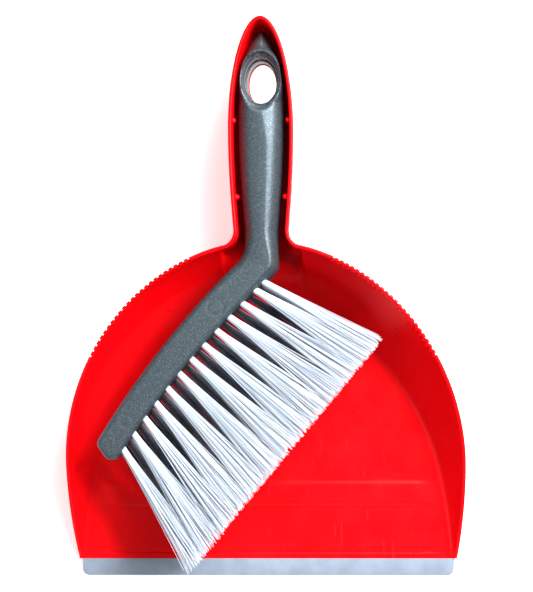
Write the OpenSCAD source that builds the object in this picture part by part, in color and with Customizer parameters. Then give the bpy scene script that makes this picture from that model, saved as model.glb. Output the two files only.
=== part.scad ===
// Dust pan with a clip-in hand brush.
// The pan lies on the floor with its mouth toward -Y and its handle toward +Y.
// The brush rests in the pan's hollow handle and lifts straight up out of it.
// The origin is under the middle of the whole set, on the floor. Sizes are in millimetres.

/* [Dust pan] */
// Width of the pan across its widest part
pan_w = 232; // [190:1:290]
// From the widest part forward to the mouth
front_len = 55; // [44:1:70]
// From the widest part back to the top of the dome
back_len = 129; // [105:1:160]
// How far each end of the mouth lies inside the widest part
mouth_inset = 5; // [3:0.5:8]
// Height of the rim at the back
rim_h = 48; // [42:1:60]
// Height of the rim at the two front corners
corner_h = 3.4; // [3:0.1:6]
// How far the back wall leans out from its foot to its rim
wall_run = 31; // [24:1:38]
// Thickness of the floor
floor_t = 2.4; // [2:0.1:3.2]
// Thickness of the walls, measured level
wall_t = 2.2; // [1.8:0.1:3]

/* [Pan handle] */
// From the top of the dome to the tip of the handle
handle_len = 129; // [105:1:160]
// Depth of the channel that the brush lies in
channel_depth = 24; // [19:0.5:29]
// Radius where the channel opens out into the pan
flare_r = 9; // [6:0.5:12]
// Length of the pointed arch at the handle's tip
arch_len = 66; // [50:1:80]
// Roundness of the channel's lower edges
channel_r = 6; // [3:0.5:8]
// Diameter of the four nubs that hold the brush down
nub_d = 3.2; // [2.4:0.1:4]
// Width of the hanging hole
hang_w = 15.6; // [12:0.2:18]
// Length of the hanging hole
hang_len = 24; // [18:0.5:28]
// From the handle's tip to the middle of the hanging hole
hang_setback = 37; // [32:1:44]

/* [Comb and floor] */
// Slots of the comb on each side of the rim
comb_slots = 24; // [12:1:28]
// Width of a comb slot
slot_w = 1.3; // [0.8:0.1:1.6]
// Depth of a comb slot
slot_depth = 2.6; // [1.5:0.1:4]
// Height of the step across the floor behind the mouth
step_h = 0.8; // [0.4:0.1:1.5]

/* [Rubber lip] */
// How far the lip reaches past the mouth
lip_reach = 10; // [7:0.5:14]
// How far the lip's tongue is held inside the floor
tongue_len = 7; // [5:0.5:10]
// Thickness of the tongue
tongue_t = 1; // [0.8:0.1:1.2]
// Thickness of the lip's front edge
lip_edge_t = 0.7; // [0.5:0.1:1]
// Radius of the lip's front corners
lip_corner_r = 4; // [2:0.5:7]

/* [Brush] */
// Width of the brush handle at its widest
grip_w = 26.2; // [20:0.2:32]
// Length of the pointed arch at the brush handle's tip
grip_arch = 54.5; // [44:0.5:64]
// Width of the brush at its neck
neck_w = 19; // [15:0.5:24]
// Thickness of the brush from underside to face
brush_t = 24.5; // [22:0.5:28]
// Width of the head beside the neck
head_w = 19.4; // [17:0.2:27]
// Width of the head at its far end
head_end_w = 15; // [14:0.5:21]
// Radius of the head's long curve
head_r = 510; // [400:1:650]
// Direction of the head where it leaves the neck, in degrees below level
head_dir = 42.4; // [38:0.1:47]
// Radius of the brush's long edges
edge_r = 4; // [2:0.5:5]

/* [Bristles] */
// Tufts in the top and the low row; the middle row has one less
tufts = 13; // [9:1:14]
// Distance between the rows
row_pitch = 7.2; // [6:0.2:8]
// Diameter of a tuft where it leaves the head
root_d = 3.8; // [3:0.1:4.4]
// Diameter of a tuft at its tip
tip_d = 8.4; // [6:0.2:9]
// Depth of a tuft's hole
hole_depth = 8; // [6:0.5:9]
// Direction of the first tuft, in degrees below level
fan_first = 30; // [24:0.5:36]
// Direction of the last tuft, in degrees below level
fan_last = 57; // [52:0.5:62]
// Length of the last tuft outside the head
last_len = 75; // [62:1:80]

/* [Clearances] */
// Gap under the brush handle
seat_gap = 0.3; // [0.2:0.1:0.6]
// Gap between the brush handle and the channel's wall at the widest part
side_gap = 3.4; // [2.5:0.1:5]
// Gap between the neck and the channel's wall
neck_gap = 4.1; // [3:0.1:6]
// Gap between the brush's tip and the channel's end
tip_gap = 3.6; // [2:0.1:6]
// Gap between a nub and the brush handle
nub_gap = 1.2; // [0.4:0.1:2]
// Room between a tuft and the wall of its hole
tuft_fit = 0.1; // [0.05:0.05:0.2]
// How far the far end of the head stays inside the pan's widest part
end_room = 25; // [22:1:34]
// How far the tips of the first tufts stay inside the pan's widest part
tip_room = 52; // [46:0.5:60]

/* [Hidden] */
// Places along Y, from the lip's front edge to the handle's tip
overall = lip_reach + front_len + back_len + handle_len;
lip_y = -overall / 2;
mouth_y = lip_y + lip_reach;
wide_y = mouth_y + front_len;
dome_y = wide_y + back_len;
tip_y = overall / 2;

// Plan of the pan: two half ovals that share their widest line
half_w = pan_w / 2;
mouth_half = half_w - mouth_inset;
front_oval = front_len / sqrt(1 - pow(mouth_half / half_w, 2));
mouth_angle = -asin(front_len / front_oval);
dome_power = 1.93;
wall_curve = 1.3;

// The flare meets the neck a little behind the top of the dome
flare_rise = 5.5;

// Channel and brush share one set of widths and heights
channel_z = rim_h - channel_depth;
brush_z = channel_z + seat_gap;
brush_top = brush_z + brush_t;
shell_wide = grip_w / 2 + side_gap + wall_t;
shell_neck = neck_w / 2 + neck_gap + wall_t;
shell_wide_y = tip_y - arch_len;
shell_neck_y = dome_y + flare_rise;
grip_tip_y = tip_y - wall_t - tip_gap;
grip_wide_y = grip_tip_y - grip_arch;
grip_neck_y = shell_neck_y;
hang_y = tip_y - hang_setback;

// Two pairs of nubs, just under the rim
nub_y = [dome_y + 25, tip_y - 60];
nub_drop = 3.4;
nub_z = rim_h - nub_drop;

// Step and groove across the floor, counted back from the mouth
step_setback = 38;
step_flat = 10;
step_ramp = 2;
groove_setback = 3.2;
groove_w = 1.2;
groove_depth = 0.6;
groove_end = 4;

// The lip is a little narrower than the mouth, and its tongue narrower than the lip
lip_half = mouth_half - 1.7;
tongue_half = lip_half - 4;
tongue_z = (floor_t - tongue_t) / 2;

// Head: an arc whose start is on the handle's axis
function wall_inset(z, h) = wall_run * h / rim_h * pow(max(0, 1 - z / h), wall_curve);
bend_y = dome_y - wall_inset(brush_z, rim_h) - 0.2;
head_turn = asin(sin(head_dir) + (half_w - end_room) / head_r) - head_dir;
head_len = head_r * head_turn * PI / 180;
first_s = 6.5;
second_s = first_s + 6.9;
last_s = head_len - 9.5;
tuft_pitch = (last_s - second_s) / (tufts - 2);

// Rows of tufts; each row leaves the head at its own tilt
ROWS = ["top", "middle", "low"];
row_z = [for (r = [0:2]) brush_z + brush_t / 2 + (1 - r) * row_pitch];
row_tilt = [3, -2, -7];

// Straight length of a tuft outside its hole, before it widens
collar = 1.5;

// A flat anchor is driven across each tuft's fold and bites the hole's sides
anchor = [root_d + 2 * tuft_fit + 1.4, 0.45, 1.6];
anchor_lift = 1.2;

// All tufts end on the straight line between the tips of the first and the last one
first_len = (half_w - tip_room - edge_point(first_s)[0]) / cos(fan_first);
first_tip = edge_point(first_s) + first_len * [cos(fan_first), -sin(fan_first)];
last_tip = edge_point(last_s) + last_len * [cos(fan_last), -sin(fan_last)];
trim_normal = [first_tip[1] - last_tip[1], last_tip[0] - first_tip[0]];

// ---- Shapes shared by the parts ----

// Skin of triangles through rings of points that mirror about the middle plane
module loft(rings) {
    n = len(rings[0]);
    m = (n - 1) / 2;
    top = len(rings) - 1;
    sides = [
        for (j = [0:top - 1]) for (i = [0:n - 1])
            let (a = j * n + i, b = j * n + (i + 1) % n)
                each [[a, b, b + n], [a, b + n, a + n]]
    ];
    cap = [
        for (i = [0:m - 2]) each [[i, i + 1, n - 2 - i], [i, n - 2 - i, n - 1 - i]],
        [m - 1, m, m + 1]
    ];
    lower = [for (f = cap) [f[2], f[1], f[0]]];
    upper = [for (f = cap) [for (k = f) k + top * n]];
    polyhedron([for (r = rings) each r], concat(sides, lower, upper));
}

// A half ring of points: first mirrored to the left, then back along the right
function mirrored(half) = concat(
    [for (p = half) [-p[0], p[1], p[2]]],
    [for (i = [len(half) - 2:-1:0]) half[i]]
);

// Point of the pan's outline at an angle from its widest line
function rim_point(a) = a < 0
    ? [half_w * cos(a), wide_y + front_oval * sin(a)]
    : [half_w * pow(cos(a), 2 / dome_power), wide_y + back_len * pow(sin(a), 2 / dome_power)];

// Inward direction at that point
function rim_inward(a) =
    let (p = rim_point(min(89.9, a + 0.1)), q = rim_point(max(mouth_angle, a - 0.1)))
    let (d = p - q)
    [-d[1], d[0]] / norm(d);

function rim_height(y) = corner_h + (rim_h - corner_h) * sin(90 * (y - mouth_y) / (dome_y - mouth_y));

// Half ring of the pan's wall: share is 0 at its foot and 1 at its rim
wall_steps = 40;
function wall_half(share, skin, base, above) = [
    for (i = [0:wall_steps])
        let (a = mouth_angle + (90 - mouth_angle) * i / wall_steps)
        let (p = rim_point(min(a, 89.99)), h = rim_height(p[1]))
        let (z = base + (h - base) * share)
        let (q = p + rim_inward(min(a, 89.9)) * (skin + wall_inset(z, h)))
        [i == wall_steps ? 0 : q[0], i == 0 ? mouth_y : q[1], z + above]
];

// Solid inside one skin of the pan; above carries it on upward past the rim
module tub(skin, base, above = 0) {
    shares = [0, 0.08, 0.2, 0.4, 0.6, 0.8, 1];
    rings = [for (s = shares) mirrored(wall_half(s, skin, base, 0))];
    loft(above > 0 ? concat(rings, [mirrored(wall_half(1, skin, base, above))]) : rings);
}

// Half widths of a handle: it swells from its neck, then closes in a pointed arch
function swell(y, neck_y, mid_y, neck, mid) =
    neck + (mid - neck) * sin(90 * min(1, max(0, (y - neck_y) / (mid_y - neck_y))));
function arch(y, mid_y, end_y, mid, p, q) =
    mid * pow(max(0, 1 - pow(max(0, (y - mid_y) / (end_y - mid_y)), p)), q);

// Half width of the pan handle's shell between its neck and its widest part
function shell_half(y) = swell(y, shell_neck_y, shell_wide_y, shell_neck, shell_wide);

// Ring of the handle's shell, drawn in by inset, from the pan through the flare to the tip
function shell_ring(inset, z, from_y) = mirrored(concat(
    [[shell_neck + flare_r - inset, from_y, z]],
    [for (a = [0:10:90])
        [shell_neck + flare_r * (1 - sin(a)) - inset, shell_neck_y - flare_r * cos(a), z]],
    [for (i = [1:10]) let (y = shell_neck_y + (shell_wide_y - shell_neck_y) * i / 10)
        [shell_half(y) - inset, y, z]],
    [for (a = [5:5:85])
        [(shell_wide - inset) * cos(a), shell_wide_y + (arch_len - inset) * sin(a), z]],
    [[0, tip_y - inset, z]]
));

// Solid inside one skin of the handle, with rounded lower edges
module shell(skin, base, top, from_y) {
    low = [for (a = [0, 25, 50, 70, 90])
        shell_ring(skin + channel_r * (1 - sin(a)), base + channel_r * (1 - cos(a)), from_y)];
    loft(concat(low, [shell_ring(skin, top, from_y)]));
}

// Flat oval
module oval(w, l) {
    polygon([for (i = [0:47]) [w / 2 * cos(i * 7.5), l / 2 * sin(i * 7.5)]]);
}

// ---- Dust pan ----

// Slots through the wall's top edge, along both upper arcs of the rim
module comb_cuts() {
    from_angle = 30.5;
    to_angle = 68;
    spare = 1;
    for (side = [0, 1]) mirror([side, 0, 0]) for (i = [0:comb_slots - 1]) {
        a = from_angle + (to_angle - from_angle) * i / (comb_slots - 1);
        p = rim_point(a);
        n = rim_inward(a);
        translate([p[0], p[1], rim_height(p[1]) - slot_depth])
            rotate([0, 0, atan2(n[1], n[0])])
            translate([-spare, -slot_w / 2, 0])
            cube([wall_t + 2 * spare, slot_w, slot_depth + 3 * spare]);
    }
}

// Round-ended pins that stand out from the channel's walls
module nubs() {
    for (side = [0, 1]) mirror([side, 0, 0]) for (y = nub_y) {
        tip = grip_half(y) + nub_gap;
        root = shell_half(y) - wall_t / 2;
        translate([tip + nub_d / 2, y, nub_z]) {
            sphere(d = nub_d, $fn = 24);
            rotate([0, 90, 0]) cylinder(d = nub_d, h = root - tip - nub_d / 2, $fn = 24);
        }
    }
}

// Low step across the floor, with a ramp on each side
module floor_step() {
    y = mouth_y + step_setback;
    near = step_flat / 2;
    far = near + step_ramp;
    root = floor_t / 2;
    reach = half_w * sqrt(1 - pow((y - wide_y) / front_oval, 2)) - wall_inset(0, rim_height(y)) - 1;
    translate([-reach, 0, 0]) rotate([90, 0, 90]) linear_extrude(2 * reach)
        polygon([[y - far, root], [y - far, floor_t], [y - near, floor_t + step_h],
            [y + near, floor_t + step_h], [y + far, floor_t], [y + far, root]]);
}

// The channel's hollow starts deeper inside the pan than its shell, so the two open into each other
module pan_body() {
    shell_start = dome_y - 22;
    hollow_start = dome_y - 44;
    spare = 2;
    color("red") {
        difference() {
            union() {
                tub(0, 0);
                shell(0, channel_z - wall_t, rim_h, shell_start);
            }
            tub(wall_t, floor_t, spare);
            shell(wall_t, channel_z, rim_h + spare, hollow_start);
            translate([0, hang_y, channel_z - 2 * wall_t])
                linear_extrude(3 * wall_t) oval(hang_w, hang_len);
            comb_cuts();
            // Room for the lip's tongue, and the fine groove above it
            translate([-tongue_half, mouth_y - spare, tongue_z])
                cube([2 * tongue_half, tongue_len + spare, tongue_t]);
            translate([groove_end - mouth_half, mouth_y + groove_setback, floor_t - groove_depth])
                cube([2 * (mouth_half - groove_end), groove_w, groove_depth + spare]);
        }
        floor_step();
        nubs();
    }
}

// ---- Rubber lip ----

// Blade that slopes down to its front edge, with a tongue held inside the floor
module pan_lip() {
    color("lightsteelblue") {
        intersection() {
            translate([-lip_half, 0, 0]) rotate([90, 0, 90]) linear_extrude(2 * lip_half)
                polygon([[mouth_y, 0], [mouth_y, floor_t], [lip_y, lip_edge_t], [lip_y, 0]]);
            linear_extrude(floor_t) hull() {
                for (x = [-1, 1]) translate([x * (lip_half - lip_corner_r), lip_y + lip_corner_r])
                    circle(r = lip_corner_r, $fn = 48);
                translate([-lip_half, mouth_y - 1]) square([2 * lip_half, 1]);
            }
        }
        translate([-tongue_half, mouth_y, tongue_z])
            cube([2 * tongue_half, tongue_len, tongue_t]);
    }
}

// ---- Brush body ----

// Half width of the brush handle
function grip_half(y) = min(
    swell(y, grip_neck_y, grip_wide_y, neck_w / 2, grip_w / 2),
    arch(y, grip_wide_y, grip_tip_y, grip_w / 2, 2.6, 0.7)
);

// Head: middle line, direction to the bristle side and half width at a length s
function head_angle(s) = head_dir + s / head_r * 180 / PI;
function head_mid(s) = [0, bend_y] + head_r * [
    sin(head_dir) - sin(head_angle(s)),
    cos(head_angle(s)) - cos(head_dir)
];
function head_side(s) = [sin(head_angle(s)), -cos(head_angle(s))];
function head_half(s) = (head_w + (head_end_w - head_w) * s / head_len) / 2;
function edge_point(s) = head_mid(s) + head_half(s) * head_side(s);
function back_point(s) = head_mid(s) - head_half(s) * head_side(s);

// Head with part of the neck; its far end slants, and its corners are rounded
module head_outline() {
    corner_r = 5;
    steps = 24;
    edge_s = [4, head_len + 2.5];
    back_s = [2, head_len - 4];
    offset(r = corner_r) offset(delta = -corner_r) polygon(concat(
        [[neck_w / 2, grip_neck_y], [neck_w / 2, bend_y - 4]],
        [for (i = [0:steps]) edge_point(edge_s[0] + (edge_s[1] - edge_s[0]) * i / steps)],
        [for (i = [steps:-1:0]) back_point(back_s[0] + (back_s[1] - back_s[0]) * i / steps)],
        [[-neck_w / 2, bend_y + 6], [-neck_w / 2, grip_neck_y]]
    ));
}

// Handle from above the bend to its tip
module grip_outline() {
    from_y = bend_y + 10;
    right = concat(
        [for (i = [0:10]) let (y = from_y + (grip_wide_y - from_y) * i / 10)
            [grip_half(y), y]],
        [for (i = [1:17]) let (y = grip_wide_y + (grip_tip_y - grip_wide_y) * sin(5 * i))
            [grip_half(y), y]],
        [[0, grip_tip_y]]
    );
    polygon(concat(right, [for (i = [len(right) - 2:-1:0]) [-right[i][0], right[i][1]]]));
}

// Handle and head in one, with a wide hollow curve inside the bend
module brush_outline() {
    bend_r = 16;
    offset(r = -bend_r) offset(delta = bend_r) union() {
        head_outline();
        grip_outline();
    }
}

// Slabs of the outline, stacked so that they round the long edges
module brush_blank() {
    for (a = [0, 20, 42, 66, 90]) {
        lift = edge_r * (1 - cos(a));
        translate([0, 0, brush_z + lift]) linear_extrude(brush_t - 2 * lift)
            offset(delta = edge_r * (sin(a) - 1)) brush_outline();
    }
}

// Oval hole for a wall hook, with a stepped bevel round its mouth
module brush_hang_hole() {
    wider = 1;
    bevel_steps = 4;
    bevel_h = 2;
    growth = 1.5;
    translate([0, hang_y, brush_z - 1]) linear_extrude(brush_t + 2)
        oval(hang_w + wider, hang_len + wider);
    for (i = [0:bevel_steps - 1])
        translate([0, hang_y + 1.3 - 0.3 * i, brush_top - bevel_h * (bevel_steps - i)])
            linear_extrude(bevel_h * bevel_steps + 1)
            oval(hang_w + 2 + growth * i, hang_len + growth * (i + 1));
}

module brush_body() {
    color("slategray") difference() {
        brush_blank();
        brush_hang_hole();
        for (r = [0:2]) for (i = [1:row_count(r)]) at_tuft(r, i) {
            translate([0, 0, -hole_depth])
                cylinder(d = root_d + 2 * tuft_fit, h = hole_depth + 6, $fn = 32);
            anchor_block();
        }
    }
}

// ---- Tufts and their anchors ----

function row_count(r) = r == 1 ? tufts - 1 : tufts;

// Length along the head for a tuft, counted from 1
function tuft_s(r, i) = r == 1
    ? (tuft_s(0, i) + tuft_s(0, i + 1)) / 2
    : (i == 1 ? first_s : second_s + (i - 2) * tuft_pitch);
function tuft_dir(r, i) = fan_first
    + (fan_last - fan_first) * (tuft_s(r, i) - first_s) / (last_s - first_s);

function tuft_len(r, i) = let (d = tuft_dir(r, i))
    (first_tip - edge_point(tuft_s(r, i))) * trim_normal
    / ([cos(d), -sin(d)] * trim_normal * cos(row_tilt[r]));

// Puts its children at the mouth of a tuft's hole, with Z along the tuft
module at_tuft(r, i) {
    p = edge_point(tuft_s(r, i));
    translate([p[0], p[1], row_z[r]])
        rotate([0, 90 - row_tilt[r], -tuft_dir(r, i)])
        rotate([0, 0, 90])
        children();
}

// Block of an anchor, used both as the anchor and as its cut
module anchor_block() {
    translate([-anchor[0] / 2, -anchor[1] / 2, -hole_depth + anchor_lift]) cube(anchor);
}

// Bundle of bristles: straight in its hole, then widening to its tip
module tuft(r, i) {
    color("aliceblue") at_tuft(r, i) difference() {
        union() {
            translate([0, 0, -hole_depth + tuft_fit])
                cylinder(d = root_d, h = hole_depth - tuft_fit + collar, $fn = 32);
            translate([0, 0, collar])
                cylinder(d1 = root_d, d2 = tip_d, h = tuft_len(r, i) - collar, $fn = 32);
        }
        anchor_block();
    }
}

// All anchors of one row
module anchors(r) {
    color("silver") for (i = [1:row_count(r)]) at_tuft(r, i) anchor_block();
}

pan_body();
pan_lip();
brush_body();
for (r = [0:2]) anchors(r);
for (r = [0:2]) for (i = [1:row_count(r)])
    tuft(r, i);
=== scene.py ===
# %% [markdown]
# # Dust pan and brush set
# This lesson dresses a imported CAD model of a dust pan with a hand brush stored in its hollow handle.
# The CAD nodes say where every piece is. Blender adds smooth skins, real bristles and finishes.
# Shapes are worked out in millimetres, because that is how a moulding is drawn, and a mesh is scaled
# to metres once, when it is made.

# %% Load the frame
import math
import bmesh
import bpy
import numpy as np
from mathutils import Matrix, Vector


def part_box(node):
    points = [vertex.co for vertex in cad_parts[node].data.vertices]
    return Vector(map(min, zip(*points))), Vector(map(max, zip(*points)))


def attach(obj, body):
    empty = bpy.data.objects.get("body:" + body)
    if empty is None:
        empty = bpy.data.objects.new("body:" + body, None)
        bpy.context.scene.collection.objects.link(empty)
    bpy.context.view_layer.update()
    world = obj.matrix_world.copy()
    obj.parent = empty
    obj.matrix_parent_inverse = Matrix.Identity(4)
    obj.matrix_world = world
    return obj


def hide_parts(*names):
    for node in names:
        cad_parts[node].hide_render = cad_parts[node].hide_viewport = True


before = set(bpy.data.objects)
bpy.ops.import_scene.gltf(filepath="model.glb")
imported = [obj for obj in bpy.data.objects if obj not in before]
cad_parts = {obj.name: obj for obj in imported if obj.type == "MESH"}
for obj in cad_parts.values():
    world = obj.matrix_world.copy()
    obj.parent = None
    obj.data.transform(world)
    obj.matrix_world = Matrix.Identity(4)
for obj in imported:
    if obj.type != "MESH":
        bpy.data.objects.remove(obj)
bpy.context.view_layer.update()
MM = 0.001


def box_mm(node):
    """Lowest and highest corner of a CAD node, in millimetres."""
    low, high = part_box(node)
    return np.array(low) / MM, np.array(high) / MM


pan_low, pan_high = box_mm("pan_body")
lip_low, lip_high = box_mm("pan_lip")
brush_low, brush_high = box_mm("brush_body")
print("pan", pan_low.round(1), pan_high.round(1))
print("brush", brush_low.round(1), brush_high.round(1))

# %% [markdown]
# ## Camera, lights and floor
# The set is looked at from almost straight above, through a long lens, so it keeps its true outline.
# The camera stands a little to the right of the middle and leans back toward it, which is why a
# sliver of the outer wall shows on the right. A soft box behind the handle, to the right, draws the
# long highlight on the brush and leaves the pan's back wall and the hollow handle in shade. A second
# one on the right lights the side of the grip. Weak boxes on the left and in front fill the shadows.
# Nothing bright hangs straight above, so that level faces stay deep in colour.

# %% Camera
SENSOR_MM = 36
LENS_MM = 123.628
camera_data = bpy.data.cameras.new("camera")
camera_data.sensor_width = SENSOR_MM
camera_data.lens = LENS_MM
camera_data.clip_end = 20
camera = bpy.data.objects.new("camera", camera_data)
camera.location = (0.0759, -0.0534, 1.2)
camera.rotation_euler = (math.radians(2.66), math.radians(3.63), math.radians(-0.28))
bpy.context.scene.collection.objects.link(camera)
bpy.context.scene.camera = camera
print("lens", round(camera_data.lens, 1), "mm")


# %% Lights
def soft_box(name, place, target, size, power):
    """A square area light that faces its target."""
    data = bpy.data.lights.new(name, "AREA")
    data.shape = "SQUARE"
    data.size = size
    data.energy = power
    light = bpy.data.objects.new(name, data)
    light.location = place
    aim = Vector(target) - Vector(place)
    light.rotation_euler = aim.to_track_quat("-Z", "Y").to_euler()
    bpy.context.scene.collection.objects.link(light)
    return light


soft_box("back_box", (0.62, 0.85, 1.0), (0, 0, 0), 0.8, 36)
soft_box("right_box", (0.8, 0.45, 1.0), (0, 0, 0), 0.6, 30)
soft_box("left_box", (-0.9, -0.3, 1.0), (0, 0, 0), 0.7, 3.5)
soft_box("front_box", (0.1, -1.3, 0.9), (0, 0, 0), 0.6, 3)
world = bpy.data.worlds.new("studio")
world.use_nodes = True
world.node_tree.nodes["Background"].inputs["Color"].default_value = (0.95, 0.97, 1, 1)
world.node_tree.nodes["Background"].inputs["Strength"].default_value = 0.2
bpy.context.scene.world = world
# Clean, saturated colours, as in a catalogue
bpy.context.scene.view_settings.view_transform = "Standard"
print("lights", [light.name for light in bpy.data.lights])


# %% [markdown]
# ## Materials
# Each finish is a small node tree. A helper makes the tree, and another adds noise at a real size,
# so the grain of a plastic stays the same size on every piece.

# %% Material helpers
def new_material(name, roughness, metallic=0.0, ior=1.5):
    """A material with a Principled shader; returns it, its nodes' adder, the shader and the tree."""
    material = bpy.data.materials.new(name)
    material.use_nodes = True
    tree = material.node_tree
    shader = tree.nodes["Principled BSDF"]
    shader.inputs["Roughness"].default_value = roughness
    shader.inputs["Metallic"].default_value = metallic
    shader.inputs["IOR"].default_value = ior

    def add(kind, links=None, **settings):
        """Adds a node, sets its properties, then its inputs by name or number."""
        node = tree.nodes.new(kind)
        for key, value in settings.items():
            setattr(node, key, value)
        for key, value in (links or {}).items():
            if isinstance(value, bpy.types.NodeSocket):
                tree.links.new(value, node.inputs[key])
            else:
                node.inputs[key].default_value = value
        return node

    return material, add, shader, tree


def noise_mm(add, coordinates, size_mm, detail=2.0, stretch=(1, 1, 1)):
    """Noise whose features are about size_mm across, on object coordinates in metres."""
    mapping = add("ShaderNodeMapping", {"Vector": coordinates, "Scale": stretch})
    return add("ShaderNodeTexNoise", {
        "Vector": mapping.outputs["Vector"], "Scale": 1 / (size_mm * MM), "Detail": detail,
    }).outputs["Fac"]


def ramp(add, value, low, high, to_low, to_high):
    """Maps a value from one range to another, clamped."""
    return add("ShaderNodeMapRange", {
        "Value": value, "From Min": low, "From Max": high, "To Min": to_low, "To Max": to_high,
    }).outputs["Result"]


def mix_colours(add, share, first, second, blend="MIX"):
    """Mixes two colours or colour sockets by a share."""
    node = add("ShaderNodeMix", {"Factor": share}, data_type="RGBA", blend_type=blend)
    for socket, value in ((node.inputs[6], first), (node.inputs[7], second)):
        if isinstance(value, bpy.types.NodeSocket):
            node.id_data.links.new(value, socket)
        else:
            socket.default_value = value
    return node.outputs[2]


# %% Red moulded plastic
def red_plastic():
    """Satin red polypropylene: fine moulded grain, faint flow marks and a few light scratches."""
    material, add, shader, tree = new_material("red_moulded_plastic", 0.34)
    shader.inputs["Specular IOR Level"].default_value = 0.12
    place = add("ShaderNodeTexCoord").outputs["Object"]
    cloud = noise_mm(add, place, 45, 3)
    cloud = ramp(add, cloud, 0.35, 0.65, 0, 1)
    colour = mix_colours(add, cloud, (0.84, 0.0008, 0.003, 1), (0.92, 0.0015, 0.005, 1))
    scratch = noise_mm(add, place, 1.2, 2, (1, 0.06, 0.3))
    worn = ramp(add, scratch, 0.66, 0.74, 0, 0.35)
    colour = mix_colours(add, worn, colour, (0.95, 0.02, 0.025, 1))
    tree.links.new(colour, shader.inputs["Base Color"])
    grain = noise_mm(add, place, 0.5, 2)
    smooth_or_dull = ramp(add, noise_mm(add, place, 14, 4), 0.3, 0.7, 0.27, 0.4)
    tree.links.new(smooth_or_dull, shader.inputs["Roughness"])
    bump = add("ShaderNodeBump", {"Strength": 0.12, "Distance": 0.0002, "Height": grain})
    tree.links.new(bump.outputs["Normal"], shader.inputs["Normal"])
    return material


RED = red_plastic()


# %% Soft lip rubber
def soft_rubber():
    """Blue-grey soft rubber: matt, slightly mottled, with dust in its grain."""
    material, add, shader, tree = new_material("soft_lip_rubber", 0.55)
    place = add("ShaderNodeTexCoord").outputs["Object"]
    mottle = ramp(add, noise_mm(add, place, 9, 4), 0.35, 0.65, 0, 1)
    colour = mix_colours(add, mottle, (0.24, 0.295, 0.375, 1), (0.29, 0.35, 0.44, 1))
    dust = ramp(add, noise_mm(add, place, 0.7, 3), 0.62, 0.75, 0, 0.5)
    colour = mix_colours(add, dust, colour, (0.3, 0.35, 0.41, 1))
    tree.links.new(colour, shader.inputs["Base Color"])
    tree.links.new(ramp(add, mottle, 0, 1, 0.48, 0.62), shader.inputs["Roughness"])
    drag = noise_mm(add, place, 0.8, 2, (0.1, 1, 1))
    bump = add("ShaderNodeBump", {"Strength": 0.25, "Distance": 0.0002, "Height": drag})
    tree.links.new(bump.outputs["Normal"], shader.inputs["Normal"])
    return material


RUBBER = soft_rubber()


# %% Grey plastic with metal flakes
def flake_plastic():
    """Grey-green plastic full of fine aluminium flakes, each lying at its own small angle."""
    material, add, shader, tree = new_material("grey_flake_plastic", 0.42, 0.6)
    place = add("ShaderNodeTexCoord").outputs["Object"]
    flakes = add("ShaderNodeTexVoronoi", {"Vector": place, "Scale": 1 / (0.42 * MM)})
    chance = add("ShaderNodeSeparateColor", {"Color": flakes.outputs["Color"]})
    bright = ramp(add, chance.outputs["Red"], 0.8, 1.0, 0, 0.8)
    cloud = ramp(add, noise_mm(add, place, 1.1, 3), 0.3, 0.7, 0, 1)
    base = mix_colours(add, cloud, (0.045, 0.064, 0.077, 1), (0.066, 0.09, 0.106, 1))
    colour = mix_colours(add, bright, base, (0.15, 0.185, 0.2, 1))
    tree.links.new(colour, shader.inputs["Base Color"])
    tree.links.new(ramp(add, chance.outputs["Green"], 0, 1, 0.43, 0.54), shader.inputs["Roughness"])
    tilt = add("ShaderNodeBump", {
        "Strength": 0.08, "Distance": 0.0002, "Height": chance.outputs["Blue"]})
    tree.links.new(tilt.outputs["Normal"], shader.inputs["Normal"])
    return material


FLAKE = flake_plastic()


# %% Bristle nylon and anchor wire
def bristle_nylon():
    """Pale blue-white nylon. Each filament carries its own random tone, and on the inner rows a painted
    shade toward the root, both in attributes.
    """
    material, add, shader, tree = new_material("bristle_nylon", 0.4)
    shade = add("ShaderNodeAttribute", attribute_name="shade").outputs["Fac"]
    colour = mix_colours(add, shade, (0.42, 0.49, 0.6, 1), (0.76, 0.83, 0.89, 1))
    # Painted shade: the inner rows are darkened toward their roots, where the tufts shade each other
    painted_root_shade = add("ShaderNodeAttribute", attribute_name="painted_root_shade").outputs["Fac"]
    colour = mix_colours(add, painted_root_shade, colour, (0.03, 0.028, 0.05, 1))
    tree.links.new(colour, shader.inputs["Base Color"])
    place = add("ShaderNodeTexCoord").outputs["Object"]
    streak = noise_mm(add, place, 3, 3)
    tree.links.new(ramp(add, streak, 0.3, 0.7, 0.3, 0.5), shader.inputs["Roughness"])
    return material


def drawn_wire():
    """Bright flat steel wire with fine draw lines."""
    material, add, shader, tree = new_material("drawn_steel_wire", 0.35, 1.0)
    place = add("ShaderNodeTexCoord").outputs["Object"]
    lines = noise_mm(add, place, 0.3, 2, (1, 1, 0.1))
    tree.links.new(mix_colours(add, lines, (0.5, 0.5, 0.52, 1), (0.68, 0.68, 0.7, 1)),
                   shader.inputs["Base Color"])
    tree.links.new(ramp(add, lines, 0.3, 0.7, 0.28, 0.45), shader.inputs["Roughness"])
    return material


NYLON = bristle_nylon()
WIRE = drawn_wire()
for name in ("anchors_top", "anchors_middle", "anchors_low"):
    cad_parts[name].data.materials.clear()
    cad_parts[name].data.materials.append(WIRE)
print("materials", [m.name for m in (RED, RUBBER, FLAKE, NYLON, WIRE)])


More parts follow.
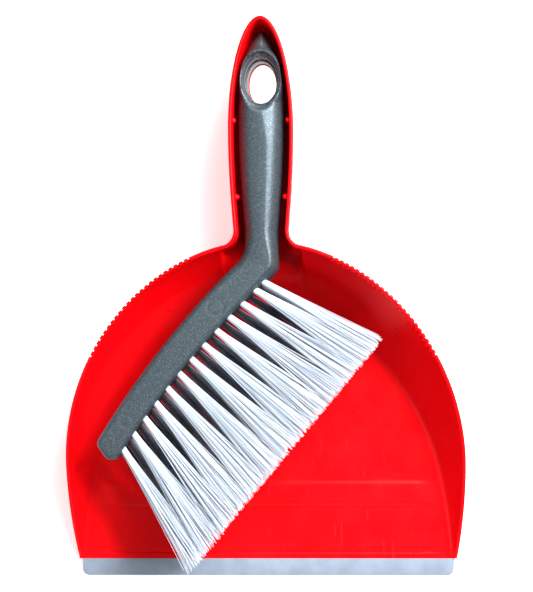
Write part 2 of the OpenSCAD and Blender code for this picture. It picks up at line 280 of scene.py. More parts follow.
# %% Floor
def pale_floor():
    """A plain, almost white sweep under the set."""
    material, _, shader, _ = new_material("pale_floor", 0.8)
    shader.inputs["Base Color"].default_value = (0.9, 0.9, 0.9, 1)
    # A little light of its own, like a lit sweep, keeps the background white
    shader.inputs["Emission Color"].default_value = (1, 1, 1, 1)
    shader.inputs["Emission Strength"].default_value = 0.5
    mesh = bpy.data.meshes.new("floor")
    reach = 4.0
    corners = [(-reach, -reach, 0), (reach, -reach, 0), (reach, reach, 0), (-reach, reach, 0)]
    mesh.from_pydata(corners, [], [(0, 1, 2, 3)])
    mesh.materials.append(material)
    floor = bpy.data.objects.new("floor", mesh)
    bpy.context.scene.collection.objects.link(floor)


pale_floor()
# %% [markdown]
# ## Pan body
# The real pan is one injection moulding: a floor, walls that lean out to a domed rim, and a hollow
# handle that opens into the pan. It could be joined from separate solids, but a moulding has soft
# inner corners everywhere, and booleans leave hard ones.
# So both skins are height fields instead. A point's height follows from how far it lies inside the
# outline, and where the pan and the handle meet, the lower of the two heights wins with a smooth
# blend. Sections across the pan are then lofted from the mouth to the tip of the handle.

# %% Driving sizes of the pan, in millimetres
HALF_W = pan_high[0]
MOUTH_Y = pan_low[1]
TIP_Y = pan_high[1]
RIM_H = pan_high[2]
FRONT_LEN = 55.0
BACK_LEN = 129.0
MOUTH_INSET = 5.0
CORNER_H = 3.4
WALL_RUN = 31.0
WALL_CURVE = 1.3
DOME_POWER = 1.93
FLOOR_T = lip_high[2]
WALL_T = 2.2
SEAT_GAP = 0.3
WIDE_Y = MOUTH_Y + FRONT_LEN
DOME_Y = WIDE_Y + BACK_LEN
CHANNEL_Z = brush_low[2] - SEAT_GAP
CHANNEL_R = 7.0
CHANNEL_DRAFT = 0.5
FLARE_R = 9.0
ARCH_LEN = 66.0
SHELL_WIDE = 18.7
SHELL_NECK = 15.8
SHELL_NECK_Y = DOME_Y + 5.5
SHELL_WIDE_Y = TIP_Y - ARCH_LEN
HANG_W, HANG_LEN = 15.6, 24.0
HANG_Y = TIP_Y - 37.0
print("widest at y", WIDE_Y, "dome top at y", DOME_Y, "channel floor at z", round(CHANNEL_Z, 1))


# %% Outlines and distances
def polyline_length(points):
    """Length along a polyline up to each of its points."""
    steps = np.linalg.norm(np.diff(points, axis=0), axis=1)
    return np.concatenate([[0], np.cumsum(steps)])


def resample(points, count=None, at=None):
    """Points along a polyline, equally spaced or at given shares of its length."""
    length = polyline_length(points)
    where = (np.linspace(0, 1, count) if at is None else np.asarray(at)) * length[-1]
    return np.stack([np.interp(where, length, points[:, k]) for k in range(points.shape[1])], 1)


def rim_height(y):
    """Height of the rim: it climbs from the front corners as a quarter sine."""
    share = np.clip((y - MOUTH_Y) / (DOME_Y - MOUTH_Y), 0, 1)
    return CORNER_H + (RIM_H - CORNER_H) * np.sin(np.pi / 2 * share)


FRONT_OVAL = FRONT_LEN / math.sqrt(1 - ((HALF_W - MOUTH_INSET) / HALF_W) ** 2)


def dome_half(past_mouth=0.0):
    """Right half of the pan's outline, from the mouth to the top of the dome."""
    low = -math.asin((FRONT_LEN + past_mouth) / FRONT_OVAL)
    front = np.linspace(low, 0, 60)
    back = np.linspace(0, np.pi / 2, 240)[1:]
    power = 2 / DOME_POWER
    return np.concatenate([
        np.stack([HALF_W * np.cos(front), WIDE_Y + FRONT_OVAL * np.sin(front)], 1),
        np.stack([HALF_W * np.cos(back).clip(0) ** power, WIDE_Y + BACK_LEN * np.sin(back) ** power], 1),
    ])


def handle_half(from_y):
    """Right half of the handle's outline: flare, neck, swell and pointed arch."""
    a = np.linspace(0, np.pi / 2, 24)
    flare = np.stack([SHELL_NECK + FLARE_R * (1 - np.sin(a)), SHELL_NECK_Y - FLARE_R * np.cos(a)], 1)
    y = np.linspace(SHELL_NECK_Y, SHELL_WIDE_Y, 50)[1:]
    swell = np.sin(np.pi / 2 * (y - SHELL_NECK_Y) / (SHELL_WIDE_Y - SHELL_NECK_Y))
    side = np.stack([SHELL_NECK + (SHELL_WIDE - SHELL_NECK) * swell, y], 1)
    a = np.linspace(0, np.pi / 2, 60)[1:]
    arch = np.stack([SHELL_WIDE * np.cos(a), SHELL_WIDE_Y + ARCH_LEN * np.sin(a)], 1)
    # Inside the pan the channel goes on opening out, so that it runs softly into the back wall
    mouth = np.linspace(0, 1, 16)[:-1]
    open_y = from_y + (flare[0, 1] - from_y) * mouth
    open_x = flare[0, 0] + 22 * (1 - mouth) ** 1.6
    return np.concatenate([np.stack([open_x, open_y], 1), flare, side, arch])


def nearest(x, y, outline):
    """Distance from points to a polyline, and the y of the nearest place on it."""
    p = np.stack([x, y], -1).reshape(-1, 2)
    a, b = outline[:-1], outline[1:]
    ab = b - a
    gap, near_y = np.zeros(len(p)), np.zeros(len(p))
    for start in range(0, len(p), 4000):
        q = p[start:start + 4000]
        t = np.einsum("ijk,jk->ij", q[:, None] - a, ab) / (ab ** 2).sum(1)
        foot = a + ab * t.clip(0, 1)[..., None]
        away = np.linalg.norm(q[:, None] - foot, axis=2)
        k = away.argmin(1)
        gap[start:start + 4000] = away[np.arange(len(q)), k]
        near_y[start:start + 4000] = foot[np.arange(len(q)), k, 1]
    return gap.reshape(x.shape), near_y.reshape(x.shape)


def inside_distance(x, y, outline):
    """Distance inside a right-half outline, negative outside; also the rim height at that place."""
    gap, near_y = nearest(np.abs(x), y, outline)
    edge_x = np.interp(y, outline[:, 1], outline[:, 0], right=-1)
    return gap * np.where(np.abs(x) <= edge_x, 1.0, -1.0), rim_height(near_y)


def smooth_low(a, b, soft):
    """The lower of two heights, blended where they are within soft of each other."""
    h = np.clip(0.5 + 0.5 * (b - a) / soft, 0, 1)
    return b + (a - b) * h - soft * h * (1 - h)


def smooth_high(a, b, soft):
    return -smooth_low(-a, -b, soft)


# %% Heights of the pan's two skins
DOME = dome_half(12)
HANDLE = handle_half(DOME_Y - 70)
STEEP = 6.0


def skin_height(x, y, skin, base, channel_base):
    """Height of a skin that lies `skin` inside the outer wall."""
    d, h = inside_distance(x, y, DOME)
    d = d - skin
    run = WALL_RUN * h / RIM_H
    wall = h * (1 - np.clip(d / run, 0, 1) ** (1 / WALL_CURVE))
    wall = np.where(d < 0, h - STEEP * d, wall)
    wall = smooth_high(wall, np.full_like(wall, base), 2.2)
    e, _ = inside_distance(x, y, HANDLE)
    e = e - skin
    corner = np.clip(CHANNEL_R - (e - CHANNEL_DRAFT), 0, CHANNEL_R)
    bowl = channel_base + CHANNEL_R - np.sqrt(CHANNEL_R ** 2 - corner ** 2)
    top_of_bowl = channel_base + CHANNEL_R
    side = top_of_bowl + (RIM_H - top_of_bowl) * (1 - e / CHANNEL_DRAFT)
    channel = np.where(e < CHANNEL_DRAFT, side, bowl)
    channel = np.where(e < 0, RIM_H - STEEP * e, channel)
    soft = np.interp(y, [SHELL_NECK_Y - 14, SHELL_NECK_Y], [9.0, 3.0])
    return smooth_low(wall, channel, soft)


def floor_relief(y, inset):
    """Low step and fine groove across the floor, faded out before the walls."""
    def rise(at, width):
        return 1 / (1 + np.exp(-(y - at) / width * 4))
    step = STEP_H * (rise(STEP_FRONT, 2.0) - rise(STEP_BACK, 2.0))
    groove = GROOVE_DEPTH * np.exp(-((y - GROOVE_Y) / 0.55) ** 2)
    return (step - groove) * np.clip((inset - 2.5) / 12, 0, 1)


STEP_H = 0.8
STEP_FRONT = MOUTH_Y + 31.5
STEP_BACK = MOUTH_Y + 44.5
GROOVE_Y = MOUTH_Y + 3.8
GROOVE_DEPTH = 0.6


# %% Sections from the mouth to the tip
def outer_stations():
    """Points of the whole right-half outline, with extra ones at the groove and the step."""
    dome = dome_half()
    handle = handle_half(DOME_Y - 70)
    handle = handle[handle[:, 1] >= SHELL_NECK_Y - FLARE_R]
    handle_start = np.interp(handle[:, 1], dome[:, 1], dome[:, 0], right=0)
    handle = handle[handle[:, 0] >= handle_start - 1e-6]
    dome = dome[dome[:, 0] > handle[0, 0]]
    outline = np.concatenate([dome, handle])
    shares = np.concatenate([np.linspace(0, 1, 296), [0.9982, 0.9991, 0.9996]])
    length = polyline_length(outline)
    extra = [GROOVE_Y + k * 0.25 for k in range(-6, 7)]
    extra += [at + k * 0.6 for at in (STEP_FRONT, STEP_BACK) for k in range(-4, 5)]
    front = outline[:, 1] < WIDE_Y
    extra = np.interp(extra, outline[front, 1], length[front]) / length[-1]
    shares = np.sort(np.concatenate([shares, extra]))
    shares = shares[np.concatenate([[True], np.diff(shares) > 2e-4])]
    return resample(outline, at=shares)


def inward(points):
    """Unit normals that point into the outline from its right half."""
    d = np.gradient(points, axis=0)
    n = np.stack([-d[:, 1], d[:, 0]], 1)
    return n / np.linalg.norm(n, axis=1, keepdims=True)


def section(x_end, y, skin, base, channel_base, columns):
    """Right half of one section as (x, z), from the middle to the rim, in equal steps along it."""
    share = 1 - (1 - np.linspace(0, 1, 500)) ** 1.8
    x = x_end * share
    z = skin_height(x, np.full_like(x, y), skin, base, channel_base)
    if base > 0:
        z = z + floor_relief(y, np.maximum(x_end - x - WALL_RUN * rim_height(y) / RIM_H, 0))
    z = np.minimum(z, rim_height(y) - RIM_ROUND)
    return resample(np.stack([x, z], 1), columns)


RIM_ROUND = 0.9
COLUMNS = 58


def pan_rings():
    """Closed rings of points: over the inner skin, round the rim, back under the outer skin."""
    outer = outer_stations()
    inner = outer + inward(outer) * WALL_T
    inner[0, 1] = MOUTH_Y
    inner[:, 0] = inner[:, 0].clip(0.05)
    inner[:, 1] = np.maximum.accumulate(inner[:, 1])
    rings = []
    for (ox, oy), (ix, iy) in zip(outer[:-1], inner[:-1]):
        top = section(ix, iy, WALL_T, FLOOR_T, CHANNEL_Z, COLUMNS)
        under = section(ox, oy, 0.0, 0.0, CHANNEL_Z - WALL_T, COLUMNS)
        h = rim_height(oy)
        rim = [((1 - s) * ix + s * ox, (1 - s) * iy + s * oy, h - RIM_ROUND * drop)
               for s, drop in ((0.12, 0.35), (0.36, 0.04), (0.64, 0.04), (0.88, 0.35))]
        right = [(x, iy, z) for x, z in top] + rim + [(x, oy, z) for x, z in under[::-1]]
        rings.append(right)
    return np.array(rings)


rings = pan_rings()
print("pan sections", rings.shape)


# %% Loft the sections into one closed mesh
def loft_mirrored(right):
    """Mesh from right-half rings (sections, points, 3) whose first and last points are on x = 0."""
    sections, per_half, _ = right.shape
    left = right[:, ::-1][:, 1:-1] * np.array([-1, 1, 1])
    whole = np.concatenate([right, left], 1)
    n = whole.shape[1]
    verts = whole.reshape(-1, 3)
    faces = []
    for r in range(sections - 1):
        for i in range(n):
            a, b = r * n + i, r * n + (i + 1) % n
            faces.append((a, b, b + n, a + n))
    # The mouth: each point of the upper skin meets its partner on the lower one
    for i in range(per_half // 2):
        j = per_half - 1 - i
        if j - i > 1:
            faces.append((i, j, j - 1, i + 1) if j - 1 != i + 1 else (i, j, i + 1))
    for i in range(per_half // 2):
        j = per_half - 1 - i
        mi, mj = (n - i) % n, (n - j) % n
        ni, nj = (n - i - 1) % n, (n - j + 1) % n
        if j - i > 1:
            faces.append((mi, ni, nj, mj) if ni != nj else (mi, ni, mj))
    # The tip: the last ring is narrow, so it closes the same way
    base = (sections - 1) * n
    for i in range(per_half // 2):
        j = per_half - 1 - i
        if j - i > 1:
            faces.append((base + i, base + i + 1, base + j - 1, base + j)
                         if j - 1 != i + 1 else (base + i, base + i + 1, base + j))
            mi, mj = (n - i) % n, (n - j) % n
            ni, nj = (n - i - 1) % n, (n - j + 1) % n
            faces.append((base + mi, base + mj, base + nj, base + ni)
                         if ni != nj else (base + mi, base + mj, base + ni))
    return verts, faces


def new_piece(name, verts_mm, faces, material):
    """An object at the origin whose mesh is in metres, with outward faces."""
    mesh = bpy.data.meshes.new(name)
    mesh.from_pydata((np.asarray(verts_mm) * MM).tolist(), [], faces)
    tidy = bmesh.new()
    tidy.from_mesh(mesh)
    bmesh.ops.remove_doubles(tidy, verts=tidy.verts, dist=1e-6)
    bmesh.ops.recalc_face_normals(tidy, faces=tidy.faces)
    tidy.to_mesh(mesh)
    tidy.free()
    mesh.materials.append(material)
    piece = bpy.data.objects.new(name, mesh)
    bpy.context.scene.collection.objects.link(piece)
    return piece


def open_edges(piece):
    """Number of edges that don't have exactly two faces."""
    check = bmesh.new()
    check.from_mesh(piece.data)
    count = sum(1 for e in check.edges if len(e.link_faces) != 2)
    check.free()
    return count


def combine(piece, tool_pieces, operation):
    """Cuts tools from a piece, or joins them to it, and removes the tools."""
    for tool in tool_pieces:
        step = piece.modifiers.new("combine", "BOOLEAN")
        step.solver = "MANIFOLD"
        step.operation = operation
        step.object = tool
        graph = bpy.context.evaluated_depsgraph_get()
        result = bpy.data.meshes.new_from_object(piece.evaluated_get(graph))
        piece.modifiers.clear()
        old = piece.data
        piece.data = result
        bpy.data.meshes.remove(old)
        bpy.data.objects.remove(tool)


def smooth_with_edges(piece, degrees):
    """Smooth shading that keeps edges sharper than an angle crisp."""
    piece.data.shade_smooth()
    piece.data.set_sharp_from_angle(angle=math.radians(degrees))


pan = new_piece("pan_moulding", *loft_mirrored(rings), RED)
print("pan faces", len(pan.data.polygons), "open edges", open_edges(pan))


# %% [markdown]
# ## Comb, hanging hole and nubs
# The comb on the rim is a row of slots that pulls fluff out of the bristles. The slots and the
# hanging hole are cut with real tools, because their edges should be crisp. The four nubs that
# hold the brush down are small domed pins on the channel's walls.

# %% Cutters
def oval(w, l, cx=0.0, cy=0.0, count=96):
    a = np.linspace(0, 2 * np.pi, count, endpoint=False)
    return np.stack([cx + w / 2 * np.cos(a), cy + l / 2 * np.sin(a)], 1)


def stack(name, layers, material):
    """Closed solid through equal outlines, each given as (points, z)."""
    n = len(layers[0][0])
    verts = [(x, y, z) for points, z in layers for x, y in points]
    faces = [(r * n + i, r * n + (i + 1) % n, (r + 1) * n + (i + 1) % n, (r + 1) * n + i)
             for r in range(len(layers) - 1) for i in range(n)]
    faces += [tuple(range(n)), tuple(range(len(verts) - n, len(verts)))]
    return new_piece(name, verts, faces, material)


def slot_tools():
    """One mesh of thin upright blocks along the two upper arcs of the rim."""
    slots, width, depth = 24, 1.1, 2.6
    reach = WALL_T + 1.2
    verts, faces = [], []
    box_faces = ((0, 1, 3, 2), (4, 6, 7, 5), (0, 4, 5, 1), (2, 3, 7, 6), (0, 2, 6, 4), (1, 5, 7, 3))
    for angle in np.radians(np.linspace(30.5, 68, slots)):
        power = 2 / DOME_POWER
        p = np.array([HALF_W * math.cos(angle) ** power, WIDE_Y + BACK_LEN * math.sin(angle) ** power])
        ahead = angle + 0.002
        q = np.array([HALF_W * math.cos(ahead) ** power, WIDE_Y + BACK_LEN * math.sin(ahead) ** power])
        along = (q - p) / np.linalg.norm(q - p)
        inside = np.array([-along[1], along[0]])
        z = rim_height(p[1]) - depth
        for side in (1, -1):
            start = len(verts)
            for depth_in in (-1.2, reach):
                for across in (-width / 2, width / 2):
                    for height in (0, depth + 2):
                        x, y = p + inside * depth_in + along * across
                        verts.append((side * x, y, z + height))
            faces += [tuple(start + k for k in f) for f in box_faces]
    return new_piece("slot_tools", verts, faces, RED)


def pin(x_tip, x_root, y, z, r):
    """Pin along X with a domed tip, as a closed solid."""
    rings_, around = [], 20
    side = 1 if x_root > x_tip else -1
    for a in np.linspace(8, 90, 7):
        rings_.append((x_tip + side * r * (1 - math.cos(math.radians(a))), r * math.sin(math.radians(a))))
    rings_.append((x_root, r))
    verts = [(x, y + q * math.cos(2 * math.pi * k / around), z + q * math.sin(2 * math.pi * k / around))
             for x, q in rings_ for k in range(around)]
    faces = [(j * around + k, j * around + (k + 1) % around, (j + 1) * around + (k + 1) % around,
              (j + 1) * around + k) for j in range(len(rings_) - 1) for k in range(around)]
    faces += [tuple(range(around)), tuple(range(len(verts) - around, len(verts)))]
    return new_piece("nub", verts, faces, RED)


def handle_inner_half(y):
    """Half width inside the channel at a place along the handle."""
    return float(np.interp(y, HANDLE[:, 1], HANDLE[:, 0])) - WALL_T


# %% Cut the comb and the hanging hole, and add the nubs
NUB_D, NUB_Z = 3.2, 44.6
NUB_YS = [TIP_Y - 104.0, TIP_Y - 60.0]
NUB_REACH = [2.7, 2.2]

hole = oval(HANG_W, HANG_LEN, 0, HANG_Y)
hole_tool = stack("hole_tool", [(hole, CHANNEL_Z - WALL_T - 3), (hole, CHANNEL_Z + 3)], RED)
combine(pan, [slot_tools(), hole_tool], "DIFFERENCE")
nubs = []
for y, reach in zip(NUB_YS, NUB_REACH):
    wall = handle_inner_half(y)
    for side in (1, -1):
        nubs.append(pin(side * (wall - reach), side * (wall + 1), y, NUB_Z, NUB_D / 2))
combine(pan, nubs, "UNION")
smooth_with_edges(pan, 38)
print("pan faces", len(pan.data.polygons), "open edges", open_edges(pan))
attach(pan, "pan")
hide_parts("pan_body")

# %% [markdown]
# ## Rubber lip
# The lip is a soft blade along the mouth that follows the ground. It is thick where the pan holds
# it and thin at its front edge. One outline is stacked in layers that draw in near the top and the
# bottom, so every edge gets the soft round of moulded rubber, and the height of each point then
# follows the slope of the blade.

# %% Lip
LIP_HALF = lip_high[0]
LIP_FRONT = lip_low[1]
TONGUE_LEN = lip_high[1] - MOUTH_Y
TONGUE_HALF = LIP_HALF - 4.0
LIP_CORNER = 4.0
LIP_EDGE_T = 0.7
TONGUE_Z = [0.7, 1.7]
# Points along the blade's straight back edge
BACK_POINTS = 60


def lip_outline(inset):
    """Blade outline from above: straight back edge, rounded front corners."""
    half, front, back = LIP_HALF - inset, LIP_FRONT + inset, MOUTH_Y - inset * 0.2
    r = LIP_CORNER - inset
    points = [(x, back) for x in np.linspace(half, -half, BACK_POINTS)]
    points += [(-half, y) for y in np.linspace(back, front + r, 6)[1:]]
    for a in np.linspace(math.pi, 1.5 * math.pi, 10)[1:]:
        points.append((-half + r + r * math.cos(a), front + r + r * math.sin(a)))
    points += [(x, front) for x in np.linspace(-half + r, half - r, 60)[1:]]
    for a in np.linspace(1.5 * math.pi, 2 * math.pi, 10)[1:]:
        points.append((half - r + r * math.cos(a), front + r + r * math.sin(a)))
    points += [(half, y) for y in np.linspace(front + r, back, 6)[1:-1]]
    return np.array(points)


def blade_top(y):
    """Height of the blade's top: thin at the front edge, as thick as the floor at the back."""
    share = np.clip((y - LIP_FRONT) / (MOUTH_Y - LIP_FRONT), 0, 1)
    return LIP_EDGE_T + (FLOOR_T - LIP_EDGE_T) * share ** 0.9


def lip_mesh():
    """Blade as rings from the bottom round to the top, closed by fans across the middle line."""
    rounds = [(0.30, 0.0), (0.09, 0.12), (0.0, 0.35), (0.0, 0.65), (0.09, 0.88), (0.30, 1.0)]
    rings_ = []
    for inset, share in rounds:
        p = lip_outline(inset)
        rings_.append(np.column_stack([p, blade_top(p[:, 1]) * share]))
    n = len(rings_[0])
    verts = np.concatenate(rings_)
    faces = [(r * n + i, r * n + (i + 1) % n, (r + 1) * n + (i + 1) % n, (r + 1) * n + i)
             for r in range(len(rings_) - 1) for i in range(n)]
    for start in (0, (len(rings_) - 1) * n):
        back = list(range(BACK_POINTS))
        rest = list(range(n - 1, BACK_POINTS - 1, -1))
        back_x = verts[[start + k for k in back], 0]
        rest_x = verts[[start + k for k in rest], 0]
        # Zip the back edge to the rest of the outline from right to left
        a, b = 0, 0
        while a < len(back) - 1 or b < len(rest) - 1:
            step_a = b == len(rest) - 1 or (a < len(back) - 1 and back_x[a + 1] >= rest_x[b + 1])
            if step_a:
                faces.append((start + back[a], start + back[a + 1], start + rest[b]))
                a += 1
            else:
                faces.append((start + back[a], start + rest[b + 1], start + rest[b]))
                b += 1
    return verts, faces


def soft_block(name, low, high, material):
    """Plain block given by two corners in millimetres."""
    corners = [(x, y, z) for x in (low[0], high[0]) for y in (low[1], high[1]) for z in (low[2], high[2])]
    faces = [(0, 1, 3, 2), (4, 6, 7, 5), (0, 4, 5, 1), (2, 3, 7, 6), (0, 2, 6, 4), (1, 5, 7, 3)]
    return new_piece(name, corners, faces, material)


lip = new_piece("pan_lip_blade", *lip_mesh(), RUBBER)
tongue = soft_block("tongue", (-TONGUE_HALF, MOUTH_Y - 1, TONGUE_Z[0]),
                    (TONGUE_HALF, MOUTH_Y + TONGUE_LEN, TONGUE_Z[1]), RUBBER)
combine(lip, [tongue], "UNION")
smooth_with_edges(lip, 50)
print("lip faces", len(lip.data.polygons), "open edges", open_edges(lip))
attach(lip, "pan")
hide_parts("pan_lip")

# %% [markdown]
# ## Brush body
# The brush body runs from a pointed grip through a slim neck, then bends into the long curved
# head that holds the bristles. Two edge lines are laid out first: down the grip, round the bend,
# along the head and round its end. Each section spans from one edge to the other.
# The grip has a ridge down its length. Below the hanging hole the ridge drifts to the right, and it
# dies out on the flat head, so the top is a crown whose ridge and fall change along the way.

# %% Driving sizes of the brush, in millimetres
BODY_LOW = brush_low[2]
BODY_HIGH = brush_high[2]
GRIP_TIP_Y = brush_high[1]
GRIP_ARCH = 54.5
GRIP_WIDE_Y = GRIP_TIP_Y - GRIP_ARCH
GRIP_HALF = 13.1
NECK_HALF = 9.5
NECK_Y = SHELL_NECK_Y
BEND_Y = DOME_Y - WALL_RUN * (1 - BODY_LOW / RIM_H) ** WALL_CURVE - 0.2
HEAD_R = 510.0
HEAD_DIR = math.radians(42.4)
HEAD_REACH = 91.0
HEAD_LEN = HEAD_R * (math.asin(math.sin(HEAD_DIR) + HEAD_REACH / HEAD_R) - HEAD_DIR)
HEAD_W = [19.4, 15.0]
UNDER_R = 4.0
print("bend at y", round(BEND_Y, 1), "head length", round(HEAD_LEN, 1))


# %% Edges of the brush
def head_mid(s):
    a = HEAD_DIR + s / HEAD_R
    return np.array([HEAD_R * (math.sin(HEAD_DIR) - math.sin(a)),
                     BEND_Y + HEAD_R * (math.cos(a) - math.cos(HEAD_DIR))])


def head_side(s):
    """Unit vector from the middle line toward the bristles."""
    a = HEAD_DIR + s / HEAD_R
    return np.array([math.sin(a), -math.cos(a)])


def head_half(s):
    return (HEAD_W[0] + (HEAD_W[1] - HEAD_W[0]) * s / HEAD_LEN) / 2


def edge_point(s):
    return head_mid(s) + head_half(s) * head_side(s)


def back_point(s):
    return head_mid(s) - head_half(s) * head_side(s)


def grip_half(y):
    """Half width of the grip and the neck."""
    share = np.clip((y - NECK_Y) / (GRIP_WIDE_Y - NECK_Y), 0, 1)
    swell = NECK_HALF + (GRIP_HALF - NECK_HALF) * np.sin(np.pi / 2 * share)
    past = np.clip((y - GRIP_WIDE_Y) / GRIP_ARCH, 0, 1)
    return np.minimum(swell, GRIP_HALF * (1 - past ** 2.6) ** 0.7)


def corner_arc(before, corner, after, r, steps=12):
    """Arc of radius r that rounds a corner between two lines."""
    before, corner, after = (np.asarray(p, float) for p in (before, corner, after))
    u = (before - corner) / np.linalg.norm(before - corner)
    v = (after - corner) / np.linalg.norm(after - corner)
    half = math.acos(float(np.clip(u @ v, -1, 1))) / 2
    centre = corner + (u + v) / np.linalg.norm(u + v) * r / math.sin(half)
    a, b = corner + u * r / math.tan(half) - centre, corner + v * r / math.tan(half) - centre
    turn = math.atan2(a[0] * b[1] - a[1] * b[0], a @ b)
    t = np.linspace(0, turn, steps)[:, None]
    return centre + a * np.cos(t) + np.array([-a[1], a[0]]) * np.sin(t)


def head_line(point, start, end, count=40):
    return np.array([point(s) for s in np.linspace(start, end, count)])


GRIP_END_Y = BEND_Y + 18.5
HEAD_START, HEAD_STOP = 16.0, HEAD_LEN - 8.0

grip_y = GRIP_TIP_Y - 0.05 - (GRIP_TIP_Y - 0.05 - GRIP_END_Y) * np.linspace(0, 1, 130) ** 1.25
grip_right = np.stack([grip_half(grip_y), grip_y], 1)
grip_left = grip_right * [-1, 1]

right_corner = corner_arc((NECK_HALF, GRIP_END_Y), (NECK_HALF, BEND_Y - 4), edge_point(4), 6.0)
bend_right = np.concatenate([grip_right[-1:], right_corner, head_line(edge_point, 4, HEAD_START, 12)])
back_start = next(s for s in np.arange(0, 20, 0.05) if back_point(s)[0] < -NECK_HALF)
left_corner = corner_arc((-NECK_HALF, GRIP_END_Y), back_point(back_start), back_point(HEAD_START), 16.0, 20)
bend_left = np.concatenate([grip_left[-1:], left_corner, [back_point(HEAD_START)]])

edge_corner, back_corner = edge_point(HEAD_LEN + 2.5), back_point(HEAD_LEN - 4)
end_right = np.concatenate([
    [edge_point(HEAD_STOP)], corner_arc(edge_point(HEAD_STOP), edge_corner, back_corner, 5.0)])
end_left = np.concatenate([
    [back_point(HEAD_STOP)], corner_arc(back_point(HEAD_STOP), back_corner, edge_corner, 5.0)])

right_edge = np.concatenate([
    grip_right, resample(bend_right, 60)[1:], head_line(edge_point, HEAD_START, HEAD_STOP, 100)[1:],
    resample(end_right, 24)[1:]])
left_edge = np.concatenate([
    grip_left, resample(bend_left, 60)[1:], head_line(back_point, HEAD_START, HEAD_STOP, 100)[1:],
    resample(end_left, 24)[1:]])
brush_outline = np.concatenate([right_edge, left_edge[::-1], right_edge[:1]])
keep = np.concatenate([[True], np.linalg.norm(np.diff(brush_outline, axis=0), axis=1) > 1e-6])
brush_outline = brush_outline[keep]
print("brush sections", len(right_edge))


# %% Crown of the brush
def along(stops, values, where):
    """Smoothly eased value along the brush; where falls from the grip's tip to the head's end."""
    for (a, b), (va, vb) in zip(zip(stops, stops[1:]), zip(values, values[1:])):
        if where >= b:
            t = np.clip((a - where) / (a - b), 0, 1)
            return va + (vb - va) * t * t * (3 - 2 * t)
    return values[-1]


# Places: y in the grip and the neck, then minus the length along the head
STOPS = [GRIP_TIP_Y, HANG_Y - 11, 85.0, NECK_Y, 14.0, -45.0, -200.0]
RIDGE_AT = [0.0, -0.03, 0.24, 0.2, 0.5, 0.85, 0.9]
FALL_LEFT = [4.0, 4.0, 3.4, 3.2, 2.2, 0.35, 0.3]
FALL_RIGHT = [4.6, 4.8, 4.6, 4.6, 3.4, 0.5, 0.3]
TOP_R = [6.5, 7.0, 7.0, 6.0, 4.6, 3.4, 3.4]
RIDGE_Z = [BODY_HIGH - 0.3] * 4 + [BODY_HIGH] * 3
TIP_DROP, TIP_DROP_FROM = 12.0, 116.0
RING_W, RING_LEN, RING_Y = 23.4, 31.8, HANG_Y + 1.0
RING_Z = BODY_HIGH - 2.6
# Faint round marks of the mould's pins: middle and radius
PIN_MARKS = [((-25.9, -5.6), 4.5), ((-77.1, -69.8), 3.4)]
MARK_DEPTH, MARK_W = 0.2, 0.7


def edge_drop(d, r):
    """How far a rounded edge of radius r has dropped at a distance d inside the outline."""
    inside = np.clip(r - d, 0, r)
    return r - np.sqrt(r * r - inside * inside)


def brush_top(x, y, u, gap, where):
    """Height of the top: crown with rounded edges, then the ring round the hanging hole."""
    ridge = along(STOPS, RIDGE_AT, where)
    v = np.where(u < ridge, (ridge - u) / (1 + ridge), (u - ridge) / (1 - ridge))
    v = np.sqrt(v ** 2 + 0.0025) - 0.05
    fall = np.where(u < ridge, along(STOPS, FALL_LEFT, where) * v.clip(0) ** 2.1,
                    along(STOPS, FALL_RIGHT, where) * v.clip(0) ** 1.3)
    past = np.clip((y - TIP_DROP_FROM) / (GRIP_TIP_Y - TIP_DROP_FROM), 0, 1)
    z = along(STOPS, RIDGE_Z, where) - TIP_DROP * past ** 2.2 - fall
    ring = np.hypot(x / (RING_W / 2), (y - RING_Y) / (RING_LEN / 2))
    level = np.clip((1.22 - ring) / 0.22, 0, 1)
    level = level * level * (3 - 2 * level)
    r = along(STOPS, TOP_R, where) * (1 - level) + 1.2 * level
    z = z * (1 - level) + RING_Z * level - edge_drop(gap, r)
    for (mark_x, mark_y), mark_r in PIN_MARKS:
        off = (np.hypot(x - mark_x, y - mark_y) - mark_r) / MARK_W
        z = z - MARK_DEPTH * np.exp(-off * off)
    return z - np.interp(ring, [0.0, 0.8, 0.82, 0.9, 0.915, 1.0], [12.0, 12.0, 6.0, 4.2, 1.3, 0.0])


TOP_COLUMNS, UNDER_COLUMNS, WALL_ROWS = 76, 26, 4


def brush_rings():
    """Closed ring of points for each section: over the top, down, under, and up again."""
    share = np.linspace(0, 1, 240)
    share = 0.5 - 0.5 * np.cos(np.pi * share)
    spans = left_edge[:, None] + (right_edge - left_edge)[:, None] * share[None, :, None]
    d, _ = nearest(spans[..., 0], spans[..., 1], brush_outline)
    d[:, 0] = d[:, -1] = 0
    grip_count = len(grip_y)
    rings_ = []
    for k, (span, gap) in enumerate(zip(spans, d)):
        x, y = span[:, 0], span[:, 1]
        if k < grip_count:
            where = y[0]
        else:
            where = np.interp(k, [grip_count, grip_count + 59, len(spans) - 1],
                              [GRIP_END_Y, 0.0 - HEAD_START, -HEAD_LEN])
        top = brush_top(x, y, share * 2 - 1, gap, where)
        under = BODY_LOW + edge_drop(gap, UNDER_R)
        over = resample(np.column_stack([x, y, top]), TOP_COLUMNS)
        below = resample(np.column_stack([x, y, under])[::-1], UNDER_COLUMNS)
        down = resample(np.array([over[-1], below[0]]), WALL_ROWS + 2)[1:-1]
        up = resample(np.array([below[-1], over[0]]), WALL_ROWS + 2)[1:-1]
        rings_.append(np.concatenate([over, down, below, up]))
    return np.array(rings_)


def loft(rings_):
    """Closed mesh through rings of equal count, with flat ends."""
    count, n, _ = rings_.shape
    faces = [(r * n + i, r * n + (i + 1) % n, (r + 1) * n + (i + 1) % n, (r + 1) * n + i)
             for r in range(count - 1) for i in range(n)]
    faces += [tuple(range(n)), tuple(range((count - 1) * n, count * n))]
    return rings_.reshape(-1, 3), faces


